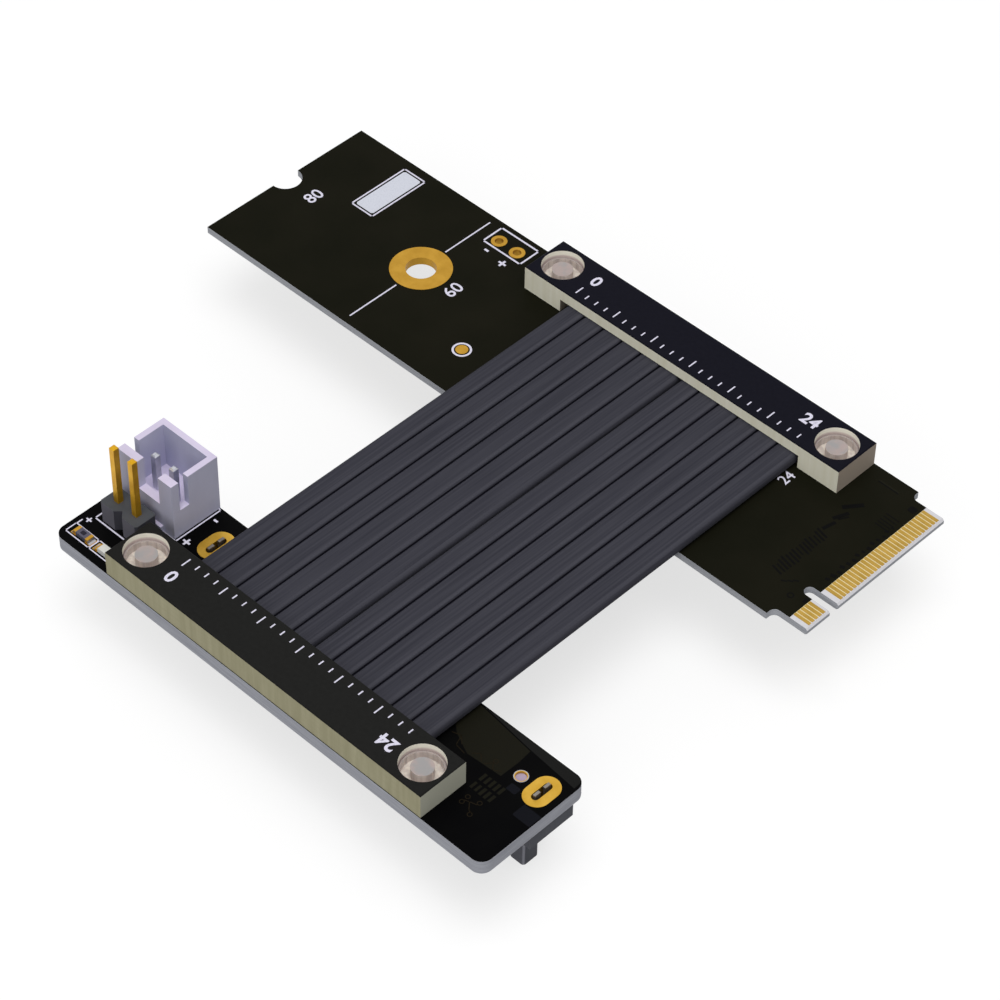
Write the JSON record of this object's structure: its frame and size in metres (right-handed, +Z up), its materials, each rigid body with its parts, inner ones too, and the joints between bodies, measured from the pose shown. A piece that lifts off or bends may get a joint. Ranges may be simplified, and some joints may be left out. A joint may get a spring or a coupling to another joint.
{
  "type": "nvme adapter cable",
  "caption": "Edge card with a notched end joined by two flat shielded ribbons under clamp bars to a small drive board with a socket below and a power header above.",
  "frame": {"origin": "centre of the edge card's screw hole at the card's underside", "axes": "+X along the card towards its gold edge, +Y away from the drive board, +Z up through the side that carries the clamp bars"},
  "size_m": [0.08, 0.0615, 0.02],
  "materials": {
    "board_black": "black solder mask over glass laminate",
    "gold_plate": "flat gold plating",
    "bar_laminate": "bare laminate sides under a black top face",
    "rivet_nylon": "milky moulded nylon",
    "ribbon_jacket": "satin dark grey jacket",
    "core_metal": "tinned copper",
    "socket_black": "moulded dark grey",
    "contact_gold": "gold plated spring",
    "lock_tin": "tinned sheet",
    "peg_pale": "pale moulding",
    "header_white": "white moulded nylon",
    "pin_tin": "tinned square pin",
    "strip_black": "moulded black strip",
    "pin_gold": "gold plated square pin",
    "chip_body": "coated ceramic",
    "light_body": "clear moulded top over white"
  },
  "bodies": {
    "root": {"card_board": "board_black", "card_fingers_top": "gold_plate", "card_fingers_under": "gold_plate", "card_screw_ring": "gold_plate", "card_wire_pads": "gold_plate", "card_test_pad": "gold_plate", "card_solder_pads": "gold_plate", "card_bar": "bar_laminate", "card_rivets": "rivet_nylon", "ribbon_left": "ribbon_jacket", "ribbon_right": "ribbon_jacket", "ribbon_cores": "core_metal", "drive_board": "board_black", "drive_solder_pads": "gold_plate", "drive_bar": "bar_laminate", "drive_rivets": "rivet_nylon", "lock_pads": "gold_plate", "drive_socket": "socket_black", "contacts_near": "contact_gold", "contacts_far": "contact_gold", "socket_pads": "gold_plate", "socket_locks": "lock_tin", "socket_pegs": "peg_pale", "power_header": "header_white", "power_header_pins": "pin_tin", "light_header": "strip_black", "light_header_pins": "pin_gold", "chip_pads": "gold_plate", "resistor_body": "chip_body", "resistor_caps": "gold_plate", "indicator_light": "light_body", "light_caps": "gold_plate"}
  },
  "joints": []
}
